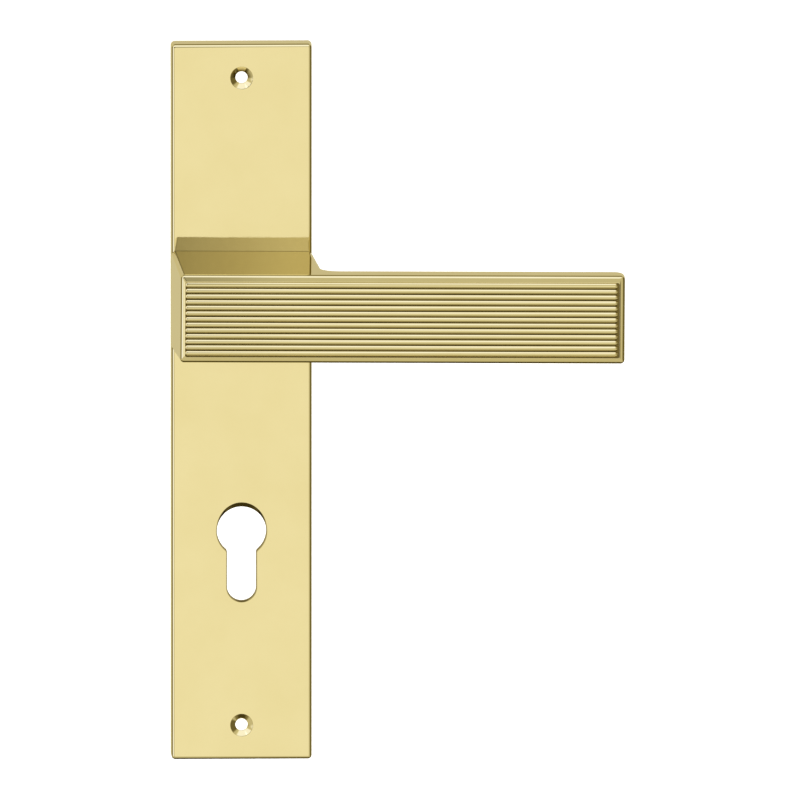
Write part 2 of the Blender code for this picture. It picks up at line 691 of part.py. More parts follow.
def spindle(steel):
    """Square bar from the neck, through the plate, into the lock."""
    half = SPINDLE_SIDE / 2
    bm = box_bmesh((-half, -half, SPINDLE_BACK), (half, half, SPINDLE_FRONT))
    bmesh.ops.bevel(bm, geom=bm.edges[:], offset=0.4 * MM, segments=1, profile=0.5, affect="EDGES")
    return add_mesh("spindle", bm, lever, steel)


def spring_hub(steel):
    """Disc keyed on the journal's flats, with a lug between the stop pins."""
    hub = add_rod("spring_hub", HUB_RADIUS, HUB_BACK, HUB_FRONT, lever, steel, steps=48)
    lug = add_box("hub_lug", (-LUG_HALF_WIDTH, 9.0 * MM, HUB_BACK), (LUG_HALF_WIDTH, LUG_TIP, LUG_FRONT),
                  lever)
    lug.rotation_euler = (0.0, 0.0, TRAVEL / 2 + LEVER_SAG)
    combine(hub, "UNION", lug)
    bore = add_rod("hub_bore", JOURNAL_RADIUS + GAP, 0.0, 6.0 * MM, lever, steps=40)
    for sign in (1, -1):
        near = sign * (JOURNAL_FLAT + GAP)
        far = sign * 2.0 * JOURNAL_RADIUS
        key = add_box(f"hub_key_{sign}", (min(near, far), -2.0 * JOURNAL_RADIUS, -1.0 * MM),
                      (max(near, far), 2.0 * JOURNAL_RADIUS, 7.0 * MM), lever)
        combine(bore, "DIFFERENCE", key)
    counterbore = add_rod("hub_counterbore", RING_OUTER + 0.5 * MM, 0.0, GROOVE_FRONT, lever, steps=40)
    start = spring_angle(0.0)
    notch = add_box("hub_notch", (SPRING_INNER - 2.2 * MM, -0.8 * MM, SPRING_BACK - GAP),
                    (HUB_RADIUS + 2.0 * MM, 0.8 * MM, HUB_FRONT + 1.0 * MM), lever)
    notch.rotation_euler = (0.0, 0.0, start)
    combine(hub, "DIFFERENCE", bore, counterbore, notch)
    return hub


def retaining_ring(spring_steel):
    """Open ring in the journal's groove."""
    start = 270.0 + RING_MOUTH
    end = 630.0 - RING_MOUTH
    loop = arc((0.0, 0.0), RING_OUTER, start, end, 28)
    loop += arc((0.0, 0.0), GROOVE_RADIUS + GAP, end, start, 28)
    return add_flat("retaining_ring", [loop], GROOVE_BACK + GAP, GROOVE_FRONT - GAP, lever, spring_steel)


def build():
    """Make every piece of the handle."""
    brass = make_material("polished_brass", (0.871, 0.745, 0.361), 0.08, 1.0)
    zinc = make_material("zinc_plated_steel", (0.62, 0.63, 0.64), 0.32, 1.0)
    spring_steel = make_material("spring_steel", (0.30, 0.31, 0.33), 0.35, 1.0)
    nylon = make_material("white_nylon", (0.82, 0.81, 0.77), 0.45, 0.0)

    cover_plate(brass)
    backing_plate(zinc)
    backing_screws(zinc)
    spring_housing(zinc)
    housing_screws(zinc)
    bearing_bush(nylon)
    stop_pins(zinc)
    return_spring(spring_steel)

    lever_body(brass)
    reeded_insert(brass)
    spindle(zinc)
    grub_screw(spring_steel)
    spring_hub(zinc)
    retaining_ring(spring_steel)
    add_turned("thrust_washer", ring_profile(JOURNAL_RADIUS + GAP, FLANGE_RADIUS, WASHER_BACK, WASHER_FRONT),
               lever, zinc, steps=40)
    add_turned("glide_ring", ring_profile(JOURNAL_RADIUS + GAP, GLIDE_RADIUS, GLIDE_BACK, GLIDE_FRONT),
               lever, nylon, steps=40)


clear_scene()
parts = make_collection("door_lever_on_plate")
cutters = make_collection("cutters")
door = make_frame("door_frame", 0.0)
lever = make_frame("lever_axis", LEVER_SAG)
build()
bpy.context.view_layer.update()
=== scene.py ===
"""Looks of a sprung brass door lever on its long cover plate.

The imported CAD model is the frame. The three polished brass pieces get finer meshes here, and every piece
gets a procedural material. Meshes are drawn in the door's own frame, X to the right, Y up and Z out of
the door, and then turned into the world, where the handle faces -Y. Lengths are millimetres until a
point is turned into the world.
"""

import json
import math

import bmesh
import bpy
from mathutils import Matrix, Vector

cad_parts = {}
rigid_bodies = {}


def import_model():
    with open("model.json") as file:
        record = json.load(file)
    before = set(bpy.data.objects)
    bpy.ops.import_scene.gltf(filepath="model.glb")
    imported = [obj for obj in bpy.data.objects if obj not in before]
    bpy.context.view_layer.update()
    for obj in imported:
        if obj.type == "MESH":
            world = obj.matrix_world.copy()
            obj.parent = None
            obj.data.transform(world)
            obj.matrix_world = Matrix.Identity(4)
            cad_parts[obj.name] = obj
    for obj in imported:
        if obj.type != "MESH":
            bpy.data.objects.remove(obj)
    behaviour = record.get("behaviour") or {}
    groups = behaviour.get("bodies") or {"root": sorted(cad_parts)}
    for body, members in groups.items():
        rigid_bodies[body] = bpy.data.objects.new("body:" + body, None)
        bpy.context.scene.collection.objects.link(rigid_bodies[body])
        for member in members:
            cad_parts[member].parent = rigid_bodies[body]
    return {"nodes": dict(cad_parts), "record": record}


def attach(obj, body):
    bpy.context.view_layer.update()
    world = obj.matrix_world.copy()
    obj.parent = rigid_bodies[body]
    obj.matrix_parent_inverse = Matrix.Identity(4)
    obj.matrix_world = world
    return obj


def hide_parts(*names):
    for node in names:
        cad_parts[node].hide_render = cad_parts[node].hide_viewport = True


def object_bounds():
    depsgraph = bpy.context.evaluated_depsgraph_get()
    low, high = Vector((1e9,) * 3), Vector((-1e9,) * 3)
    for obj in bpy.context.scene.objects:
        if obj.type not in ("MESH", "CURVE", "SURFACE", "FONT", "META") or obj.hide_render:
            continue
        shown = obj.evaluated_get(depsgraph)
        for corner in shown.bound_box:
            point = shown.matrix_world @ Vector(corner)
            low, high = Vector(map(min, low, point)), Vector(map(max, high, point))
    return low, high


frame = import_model()
cad_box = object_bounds()

MM = 0.001
# Distance from a straight's ends to its extra points, and the shortest straight that gets them
GUARD = 0.15
LONG_STRAIGHT = 10 * GUARD

# Camera and surroundings
CAMERA_AZIMUTH = math.radians(-1.5)
CAMERA_ELEVATION = math.radians(9.0)
CAMERA_DISTANCE = 3.0
VIEW_WIDTH = 0.2925
AIM_FROM_PLATE = (0.0, -0.008, 0.0)
AIM_RIGHT = 0.0579
AIM_UP = -0.0366
FLOOR_DROP = 0.12
FLOOR_SIZE = 40.0
# Smoked card: left, right, low and high edges, width of the fading at each, and its place along Y, in
# metres; then the share of the light it takes
CARD = (-0.40, 0.037, 0.040, 0.36)
CARD_FADES = (0.08, 0.088, 0.01, 0.05)
CARD_AWAY = -0.60
CARD_SMOKE = 0.78
# Overhead light: place and diameter in metres, power in watts
KEY_PLACE = (0.3, -0.9, 2.2)
KEY_SIZE = 2.0
KEY_POWER = 60.0

# Cover plate
PLATE_SIDE = 25.8
PLATE_TOP = 94.8
PLATE_BOTTOM = -170.2
PLATE_FRONT = 8.0
PLATE_INSIDE = 6.2
PLATE_WALL = 1.8
PLATE_CORNER = 1.6
PLATE_EDGE = 1.2
PLATE_DRAFT = 0.15
PLATE_DRAFT_STEP = 0.003
FIXING_HEIGHTS = (PLATE_TOP - 12.65, PLATE_BOTTOM + 12.8)
FIXING_RIM = 4.05
FIXING_RIM_ROUND = 0.15
FIXING_BORE = 2.25
FIXING_SLOPE = 0.62
FIXING_CURVE = 0.03
FIXING_STEPS = 10
FIXING_SINK = 2.1
FIXING_LAND = 0.3
FIXING_RELIEF = 3.4
FIXING_BOSS = 5.5
POST_HEIGHTS = (62.0, 38.0, -38.0, -134.0)
POST_RADIUS = 3.4
POST_HOLE = 1.5
POST_BACK = 1.3
POST_HOLE_END = PLATE_INSIDE - 1.0
BUSH_HOLE = 10.6

# Euro-profile keyhole
KEYHOLE_CENTRE = -85.65
KEYHOLE_HEAD = 9.0
KEYHOLE_SLOT = 5.3
KEYHOLE_DEPTH = 25.95
KEYHOLE_NECK = 1.6
KEYHOLE_EDGE = 0.4
KEYHOLE_EDGE_DEPTH = 1.1
# The edge's rings, as shares of its width, and how its depth grows as the share falls
KEYHOLE_EDGE_SHARES = (1.0, 0.96, 0.85, 0.5, 0.12, 0.0)
KEYHOLE_EDGE_POWER = 0.8
KEYHOLE_BROW = 1.25
KEYHOLE_COLLAR = 3.2
KEYHOLE_COLLAR_BACK = 4.4

# Lever casting
NECK_BACK = 8.4
LEVER_FRONT = 53.1
NECK_HALF_WIDTH = 25.7
NECK_HALF_HEIGHT = 18.05
GRIP_TOP = 16.25
GRIP_LOW = 16.2
GRIP_LEFT = -23.5
GRIP_TIP = 139.0
GRIP_THICKNESS = 9.4
NECK_FLARE = 0.085
ARMPIT_RADIUS = 6.5
TIP_RADIUS = 4.0
LONG_EDGE = 1.5
FRONT_PART = 2.6
FRONT_EDGE = 1.15
# How much wider the rounding is along the grip's lower edge and at its tip than along its upper edge
LOW_EDGE_SHARE = 1.4
TIP_EDGE_SHARE = 1.6
BAND_SLOPE = math.radians(8.0)
FRAME_LEFT = 1.75
FRAME_RIGHT = 1.92
RECESS_CORNER = 0.6
RECESS_DEPTH = 2.2
RECESS_EDGE = 0.06
LEVER_SAG = math.radians(0.4)
GRUB_PLACE = 24.0
GRUB_HOLE = 3.3
GRUB_BEVEL = 0.35
GRUB_END = 4.2
JOURNAL_RADIUS = 8.0
JOURNAL_BACK = 1.3
JOURNAL_FRONT = NECK_BACK + 0.2
JOURNAL_BEVEL = 0.2
GROOVE_RADIUS = 7.2
GROOVE_BACK = 1.6
GROOVE_FRONT = 2.8
SPINDLE_HOLE = 4.3

# Reeded panel
REEDS = 13
REED_PITCH = 2.095
REED_HEIGHT = 0.74
REED_SINK = 0.1
REED_ROOT = 0.3
REED_HALF_STEPS = 8
PANEL_RISE = -0.15
# Room round the reeds in the recess: left, right, below and above
PANEL_MARGINS = (0.04, 0.62, 0.36, 0.23)
# Gaps between the panel and the recess, at its sides and under it
SLAB_GAP = 0.03
SLAB_LIFT = 0.1
# How much wider the top reed's upper half is than the other reeds'
TOP_REED_STRETCH = 1.5
# Length of the slope at a reed's left and right end, and share of its height where the slope starts
REED_ENDS = ((0.6, 0.74), (0.9, 0.48))
# The slope, as shares of its length and of what is left of the height
REED_END_CURVE = ((0.0, 0.0), (0.4, 0.44), (0.7, 0.75), (0.85, 0.88), (1.0, 0.96), (1.2, 1.0), (1.8, 1.0))
# Painted shade in hollows: depths where it is full and where it ends, in metres, and its colour
REED_PAINTED_SHADE = ((-0.05243, -0.05274), (0.16, 0.12, 0.035))
PLATE_PAINTED_SHADE = ((-0.0069, -0.0079), (0.22, 0.17, 0.06))
# Parts of the plate with painted shade, in metres: half their width, then the low and high end of each
PAINTED_SHADE_REACH = 0.012
PAINTED_SHADE_HEIGHTS = ((-0.116, -0.070), (0.0823, 0.0880))
PAINTED_SHADE_FADE = 0.0005

EDGE_STEPS = 8


# ---------------------------------------------------------------- outlines

def arc(centre, radius, start, end, steps):
    """Points on an arc, angles in degrees."""
    points = []
    for step in range(steps + 1):
        angle = math.radians(start + (end - start) * step / steps)
        points.append((centre[0] + radius * math.cos(angle), centre[1] + radius * math.sin(angle)))
    return points


def guarded(points, closed=True):
    """Outline with an extra point near both ends of each long straight, which keeps the straight flat."""
    kept = []
    count = len(points)
    for index, point in enumerate(points):
        kept.append(point)
        if index == count - 1 and not closed:
            break
        after = points[(index + 1) % count]
        run = math.dist(point, after)
        if run > LONG_STRAIGHT:
            for share in (GUARD / run, 1 - GUARD / run):
                kept.append(tuple(a + (b - a) * share for a, b in zip(point, after)))
    return kept


def rounded_box(left, right, low, high, radius, steps=EDGE_STEPS):
    """Rectangle with round corners."""
    points = arc((right - radius, high - radius), radius, 0, 90, steps)
    points += arc((left + radius, high - radius), radius, 90, 180, steps)
    points += arc((left + radius, low + radius), radius, 180, 270, steps)
    points += arc((right - radius, low + radius), radius, 270, 360, steps)
    return guarded(points)


def circle(centre, radius, steps=64):
    """Closed ring of points."""
    return arc(centre, radius, 0, 360, steps)[:-1]


def plate_outline(grow):
    """Cover plate's outline, moved outwards by grow."""
    return rounded_box(-PLATE_SIDE - grow, PLATE_SIDE + grow, PLATE_BOTTOM - grow, PLATE_TOP + grow,
                       PLATE_CORNER + grow)


def keyhole_outline(grow, brow=0.0):
    """Euro-profile outline, moved outwards by grow, its round top drawn up by brow."""
    span = KEYHOLE_HEAD + KEYHOLE_NECK
    neck_x = KEYHOLE_SLOT + KEYHOLE_NECK
    neck_y = KEYHOLE_CENTRE - math.sqrt(span * span - neck_x * neck_x)
    lean = math.degrees(math.atan2(neck_y - KEYHOLE_CENTRE, neck_x))
    foot_y = KEYHOLE_CENTRE - KEYHOLE_DEPTH + KEYHOLE_SLOT
    right = arc((0.0, KEYHOLE_CENTRE), KEYHOLE_HEAD + grow, 90, lean, 36)
    right += arc((neck_x, neck_y), KEYHOLE_NECK - grow, lean + 180, 180, 8)
    right += arc((0.0, foot_y), KEYHOLE_SLOT + grow, 0, -90, 20)
    left = [(-x, y) for x, y in reversed(right[1:-1])]
    points = []
    for x, y in guarded(right + left):
        points.append((x, y + brow * max(y - KEYHOLE_CENTRE, 0.0) / KEYHOLE_HEAD))
    return points


def collar_outline():
    """Stadium round the keyhole, inside the plate."""
    radius = KEYHOLE_HEAD + KEYHOLE_COLLAR
    foot_y = KEYHOLE_CENTRE - KEYHOLE_DEPTH + KEYHOLE_HEAD
    return arc((0.0, KEYHOLE_CENTRE), radius, 0, 180, 32) + arc((0.0, foot_y), radius, 180, 360, 32)


# ---------------------------------------------------------------- mesh building

class Skin:
    """Closed surface made of rings of points, joined by strips and closed by flat faces."""

    def __init__(self):
        self.bm = bmesh.new()

    def ring(self, points):
        """New vertices, in door coordinates."""
        return [self.bm.verts.new(point) for point in points]

    def level(self, outline, z):
        """Ring with one height above the door."""
        return self.ring([(x, y, z) for x, y in outline])

    def strip(self, lower, upper, closed=True):
        """Quads between two rings with the same number of points."""
        count = len(lower)
        for index in range(count if closed else count - 1):
            after = (index + 1) % count
            self.bm.faces.new((lower[index], lower[after], upper[after], upper[index]))

    def strips(self, rings, closed=True):
        """Quads between each ring and the next."""
        for lower, upper in zip(rings, rings[1:]):
            self.strip(lower, upper, closed)

    def fill(self, *loops):
        """Flat face bounded by the first loop, with the others as holes."""
        edges = []
        for loop in loops:
            for index, vert in enumerate(loop):
                pair = (loop[index - 1], vert)
                edges.append(self.bm.edges.get(pair) or self.bm.edges.new(pair))
        bmesh.ops.triangle_fill(self.bm, use_beauty=True, edges=edges)

    def finish(self, name, sag=0.0, weld=0.0):
        """Object in the world, its mesh turned from the door's frame."""
        if weld:
            bmesh.ops.remove_doubles(self.bm, verts=self.bm.verts, dist=weld)
        bmesh.ops.recalc_face_normals(self.bm, faces=self.bm.faces)
        turn = Matrix.Rotation(sag, 4, "Y") @ Matrix.Rotation(math.pi / 2, 4, "X") @ Matrix.Scale(MM, 4)
        bmesh.ops.transform(self.bm, matrix=turn, verts=self.bm.verts)
        mesh = bpy.data.meshes.new(name)
        self.bm.to_mesh(mesh)
        self.bm.free()
        mesh.shade_smooth()
        mesh.set_sharp_from_angle(angle=math.radians(40))
        piece = bpy.data.objects.new(name, mesh)
        bpy.context.scene.collection.objects.link(piece)
        return piece


def quarter(steps=EDGE_STEPS):
    """Sine and cosine of each angle of a quarter round, from 0 to 90 degrees."""
    angles = [math.pi / 2 * step / steps for step in range(steps + 1)]
    return [(math.sin(angle), math.cos(angle)) for angle in angles]


# ---------------------------------------------------------------- cover plate

def fixing_rings(skin, y):
    """Countersunk fixing hole from the plate's front to the wall inside."""
    rings = [skin.level(circle((0.0, y), FIXING_RIM + FIXING_RIM_ROUND + GUARD), PLATE_FRONT)]
    for sine, cosine in reversed(quarter(4)):
        radius = FIXING_RIM + FIXING_RIM_ROUND * (1 - cosine)
        rings.append(skin.level(circle((0.0, y), radius), PLATE_FRONT - FIXING_RIM_ROUND * (1 - sine)))
    for step in range(1, FIXING_STEPS + 1):
        inwards = (FIXING_RIM - FIXING_BORE) * step / FIXING_STEPS
        depth = FIXING_RIM_ROUND + FIXING_SLOPE * inwards + FIXING_CURVE * inwards ** 2
        rings.append(skin.level(circle((0.0, y), FIXING_RIM - inwards), PLATE_FRONT - depth))
    floor = PLATE_FRONT - FIXING_SINK
    for radius, z in ((FIXING_BORE, floor), (FIXING_BORE, floor - FIXING_LAND),
                      (FIXING_RELIEF, floor - FIXING_LAND), (FIXING_RELIEF, 0.0),
                      (FIXING_BOSS, 0.0), (FIXING_BOSS, PLATE_INSIDE)):
        rings.append(skin.level(circle((0.0, y), radius), z))
    skin.strips(rings)
    return rings[0], rings[-1]


def keyhole_rings(skin):
    """Keyhole with its rounded edge, from the front to the back of its collar."""
    rings = [skin.level(keyhole_outline(KEYHOLE_EDGE + GUARD, KEYHOLE_BROW), PLATE_FRONT)]
    for share in KEYHOLE_EDGE_SHARES:
        sunk = KEYHOLE_EDGE_DEPTH * (1.0 - share) ** KEYHOLE_EDGE_POWER
        outline = keyhole_outline(KEYHOLE_EDGE * share, KEYHOLE_BROW * share)
        rings.append(skin.level(outline, PLATE_FRONT - sunk))
    rings.append(skin.level(keyhole_outline(0.0), KEYHOLE_COLLAR_BACK))
    skin.strips(rings)
    collar_back = skin.level(collar_outline(), KEYHOLE_COLLAR_BACK)
    collar_root = skin.level(collar_outline(), PLATE_INSIDE)
    skin.fill(collar_back, rings[-1])
    skin.strip(collar_back, collar_root)
    return rings[0], collar_root


def post_ring(skin, y):
    """Screw post inside the plate; returns its root."""
    root = skin.level(circle((0.0, y), POST_RADIUS, 32), PLATE_INSIDE)
    rings = [root, skin.level(circle((0.0, y), POST_RADIUS, 32), POST_BACK),
             skin.level(circle((0.0, y), POST_HOLE, 32), POST_BACK),
             skin.level(circle((0.0, y), POST_HOLE, 32), POST_HOLE_END)]
    skin.strips(rings)
    skin.fill(rings[-1])
    return root


def cover_plate():
    """Hollow cover with soft edges, keyhole, fixing holes and the posts inside it."""
    skin = Skin()
    edge_low = PLATE_FRONT - PLATE_EDGE
    draft = PLATE_DRAFT * edge_low / PLATE_FRONT
    rings = [skin.level(plate_outline(-GUARD), 0.0), skin.level(plate_outline(0.0), GUARD),
             skin.level(plate_outline(-draft + PLATE_DRAFT_STEP), edge_low - GUARD)]
    for sine, cosine in quarter():
        outline = plate_outline(-draft - PLATE_EDGE * (1 - cosine))
        rings.append(skin.level(outline, edge_low + PLATE_EDGE * sine))
    rings.append(skin.level(plate_outline(-draft - PLATE_EDGE - GUARD), PLATE_FRONT))
    skin.strips(rings)

    front_holes = []
    inner_holes = []
    for y in FIXING_HEIGHTS:
        front, inside = fixing_rings(skin, y)
        front_holes.append(front)
        inner_holes.append(inside)
    front, inside = keyhole_rings(skin)
    front_holes.append(front)
    inner_holes.append(inside)
    bush = [skin.level(circle((0.0, 0.0), BUSH_HOLE), z) for z in (PLATE_FRONT, PLATE_INSIDE)]
    skin.strip(*bush)
    front_holes.append(bush[0])
    inner_holes.append(bush[1])
    inner_holes += [post_ring(skin, y) for y in POST_HEIGHTS]
    skin.fill(rings[-1], *front_holes)

    side = PLATE_SIDE - PLATE_WALL
    top = PLATE_TOP - PLATE_WALL
    bottom = PLATE_BOTTOM + PLATE_WALL
    cavity = [(side, top), (-side, top), (-side, bottom), (side, bottom)]
    cavity_rings = [skin.level(cavity, z) for z in (0.0, PLATE_INSIDE)]
    skin.strip(*cavity_rings)
    skin.fill(rings[0], cavity_rings[0])
    skin.fill(cavity_rings[1], *inner_holes)
    return skin.finish("plate_casting")


# ---------------------------------------------------------------- lever casting

def reach(z, side):
    """Distance at z from the spindle's axis to the lever's upper (1) or lower (-1) side."""
    share = (z - NECK_BACK) / (LEVER_FRONT - NECK_BACK)
    return NECK_HALF_HEIGHT + ((GRIP_TOP if side > 0 else GRIP_LOW) - NECK_HALF_HEIGHT) * share


def left_side(z):
    """Lever's left edge at z."""
    share = (z - NECK_BACK) / (LEVER_FRONT - NECK_BACK)
    return -NECK_HALF_WIDTH + (GRIP_LEFT + NECK_HALF_WIDTH) * share


def lever_chain(split, inset):
    """Lever seen from above, moved inwards by inset: from its left side, round its back, to its tip."""
    grip_back = LEVER_FRONT - GRIP_THICKNESS
    lean = math.atan(NECK_FLARE)
    corner_x = NECK_HALF_WIDTH + NECK_FLARE * (grip_back - NECK_BACK)
    tangent = ARMPIT_RADIUS * math.tan((math.pi / 2 - lean) / 2)
    armpit = (corner_x + tangent, grip_back - ARMPIT_RADIUS)
    chain = [(left_side(split) + inset, split), (-NECK_HALF_WIDTH + inset, NECK_BACK),
             (NECK_HALF_WIDTH - inset / math.cos(lean), NECK_BACK)]
    chain += arc(armpit, ARMPIT_RADIUS + inset, 180 - math.degrees(lean), 90, 14)
    chain += arc((GRIP_TIP - TIP_RADIUS, grip_back + TIP_RADIUS), TIP_RADIUS - inset, -90, 0, 10)
    chain.append((GRIP_TIP - inset, split))
    return guarded(chain, closed=False)


def grub_hole(skin):
    """Hole for the grub screw, up into the neck; returns its mouth."""
    mouth = []
    for x, z in circle((0.0, GRUB_PLACE), GRUB_HOLE + GRUB_BEVEL + GUARD, 40):
        mouth.append((x, -reach(z, -1), z))
    rings = [skin.ring(mouth)]
    low = reach(GRUB_PLACE, -1)
    for radius, rise in ((GRUB_HOLE + GRUB_BEVEL, 0.0), (GRUB_HOLE + 0.1, 0.15), (GRUB_HOLE, 0.4),
                         (GRUB_HOLE, low - GRUB_END)):
        ring = []
        for x, z in circle((0.0, GRUB_PLACE), radius, 40):
            ring.append((x, -(reach(z, -1) if rise == 0.0 else low) + rise, z))
        rings.append(skin.ring(ring))
    skin.strips(rings)
    skin.fill(rings[-1])
    return rings[0]


def lever_front(skin, split):
    """Front of the grip: rounded edges, sloping bands, and the recess for the reeded panel."""
    half = REEDS * REED_PITCH / 2
    recess = (GRIP_LEFT + FRAME_LEFT, GRIP_TIP - FRAME_RIGHT, PANEL_RISE - half - PANEL_MARGINS[2],
              PANEL_RISE + half + PANEL_MARGINS[3])
    band = GRIP_TOP - FRONT_EDGE - recess[3]
    drop = band * math.tan(BAND_SLOPE)

    def outer(inset, z):
        return skin.level(rounded_box(left_side(z) + inset, GRIP_TIP - inset * TIP_EDGE_SHARE,
                                      inset * LOW_EDGE_SHARE - reach(z, -1), reach(z, 1) - inset,
                                      LONG_EDGE - inset), z)

    rings = [outer(0.0, split)]
    low = LEVER_FRONT - drop - FRONT_EDGE
    rings.append(outer(0.0, low - GUARD))
    last = math.pi / 2 - BAND_SLOPE
    for step in range(EDGE_STEPS + 1):
        angle = last * step / EDGE_STEPS
        rings.append(outer(FRONT_EDGE * (1 - math.cos(angle)), low + FRONT_EDGE * math.sin(angle)))
    first = FRONT_EDGE * (1 - math.cos(last))
    start = low + FRONT_EDGE * math.sin(last)
    outside = (left_side(start) + first, GRIP_TIP - first * TIP_EDGE_SHARE,
               first * LOW_EDGE_SHARE - reach(start, -1), reach(start, 1) - first)

    def widened(grow):
        return recess[0] - grow, recess[1] + grow, recess[2] - grow, recess[3] + grow

    inside = widened(RECESS_EDGE)
    corner = (LONG_EDGE - first, RECESS_CORNER + RECESS_EDGE)
    for share in (0.1, 0.9, 1.0):
        extent = [a + (b - a) * share for a, b in zip(outside, inside)]
        radius = corner[0] + (corner[1] - corner[0]) * share
        rings.append(skin.level(rounded_box(*extent, radius), start + (LEVER_FRONT - start) * share))
    for sine, cosine in reversed(quarter(3)[:-1]):
        grow = RECESS_EDGE * (1 - cosine)
        outline = rounded_box(*widened(grow), RECESS_CORNER + grow)
        rings.append(skin.level(outline, LEVER_FRONT - RECESS_EDGE * (1 - sine)))
    rings.append(skin.level(rounded_box(*recess, RECESS_CORNER), LEVER_FRONT - RECESS_DEPTH))
    skin.strips(rings)
    skin.fill(rings[-1])


def lever_casting():
    """Neck and grip in one piece; its front part starts at the split plane."""
    split = LEVER_FRONT - FRONT_PART
    skin = Skin()
    edge = [(0.0, LONG_EDGE + GUARD)]
    edge += [(LONG_EDGE * (1 - cosine), LONG_EDGE * (1 - sine)) for sine, cosine in quarter()]
    edge.append((LONG_EDGE + GUARD, 0.0))
    top_rings = []
    for side in (1, -1):
        rings = []
        for inset, drop in edge:
            chain = lever_chain(split, inset)
            rings.append(skin.ring([(x, side * (reach(z, side) - drop), z) for x, z in chain]))
        skin.strips(rings, closed=False)
        top_rings.append(rings[0])
        if side > 0:
            skin.fill(rings[-1])
        else:
            skin.fill(rings[-1], grub_hole(skin))
    skin.strip(top_rings[0], top_rings[1], closed=False)
    lever_front(skin, split)
    return skin.finish("lever_casting", LEVER_SAG, weld=0.02)


def lever_journal():
    """Round journal behind the neck, with the square hole for the spindle."""
    skin = Skin()
    square = [(SPINDLE_HOLE, SPINDLE_HOLE), (-SPINDLE_HOLE, SPINDLE_HOLE), (-SPINDLE_HOLE, -SPINDLE_HOLE),
              (SPINDLE_HOLE, -SPINDLE_HOLE)]
    rings = [skin.level(circle((0.0, 0.0), radius), z) for radius, z in (
        (JOURNAL_RADIUS - JOURNAL_BEVEL, JOURNAL_BACK), (JOURNAL_RADIUS, JOURNAL_BACK + JOURNAL_BEVEL),
        (JOURNAL_RADIUS, GROOVE_BACK), (GROOVE_RADIUS, GROOVE_BACK), (GROOVE_RADIUS, GROOVE_FRONT),
        (JOURNAL_RADIUS, GROOVE_FRONT), (JOURNAL_RADIUS, JOURNAL_FRONT))]
    skin.strips(rings)
    holes = [skin.level(square, z) for z in (JOURNAL_BACK, JOURNAL_FRONT)]
    skin.strip(*holes)
    skin.fill(rings[0], holes[0])
    skin.fill(rings[-1], holes[1])
    return skin.finish("lever_journal", LEVER_SAG)


# ---------------------------------------------------------------- reeded panel

def reed(skin, left, right, y, roots, ceiling, stretch):
    """Bar with a round front and sloping ends, its flat back just under the panel's face.

    Stretch widens its upper half, and it is cut off at the ceiling.
    """
    radius = REED_PITCH / 2
    bow = (radius * radius + REED_HEIGHT * REED_HEIGHT) / (2 * REED_HEIGHT)
    half_angle = math.asin(radius / bow)
    stations = []
    for start, inwards, (length, low) in ((left, 1, REED_ENDS[0]), (right, -1, REED_ENDS[1])):
        for along, up in REED_END_CURVE:
            stations.append((start + inwards * length * along, low + (1 - low) * up))
    stations.sort()
    rings = []
    for x, share in stations:
        ring = [(x, y - radius * share, roots - REED_ROOT)]
        for step in range(2 * REED_HALF_STEPS + 1):
            angle = half_angle * (step / REED_HALF_STEPS - 1)
            rise = bow * math.cos(angle) - bow + REED_HEIGHT
            wide = stretch if angle > 0.0 else 1.0
            ring.append((x, min(y + bow * share * wide * math.sin(angle), ceiling), roots + rise * share))
        ring.append((x, min(y + radius * share * stretch, ceiling), roots - REED_ROOT))
        rings.append(skin.ring(ring))
    skin.strips(rings)
    for ring in (rings[0], rings[-1]):
        skin.bm.faces.new(ring)


def reeded_panel():
    """Panel in the grip's recess: a slab and its row of reeds."""
    skin = Skin()
    half = REEDS * REED_PITCH / 2
    ceiling = PANEL_RISE + half + PANEL_MARGINS[3] - SLAB_GAP
    left = GRIP_LEFT + FRAME_LEFT + PANEL_MARGINS[0]
    right = GRIP_TIP - FRAME_RIGHT - PANEL_MARGINS[1]
    roots = LEVER_FRONT - REED_SINK - REED_HEIGHT
    slab = rounded_box(GRIP_LEFT + FRAME_LEFT + SLAB_GAP, GRIP_TIP - FRAME_RIGHT - SLAB_GAP,
                       PANEL_RISE - half - PANEL_MARGINS[2] + SLAB_GAP, ceiling, RECESS_CORNER)
    rings = [skin.level(slab, z) for z in (LEVER_FRONT - RECESS_DEPTH + SLAB_LIFT, roots)]
    skin.strips(rings)
    skin.fill(rings[0])
    skin.fill(rings[1])
    for index in range(REEDS):
        stretch = TOP_REED_STRETCH if index == REEDS - 1 else 1.0
        reed(skin, left, right, PANEL_RISE - half + REED_PITCH * (index + 0.5), roots, ceiling, stretch)
    return skin.finish("reeded_panel", LEVER_SAG)


# ---------------------------------------------------------------- materials

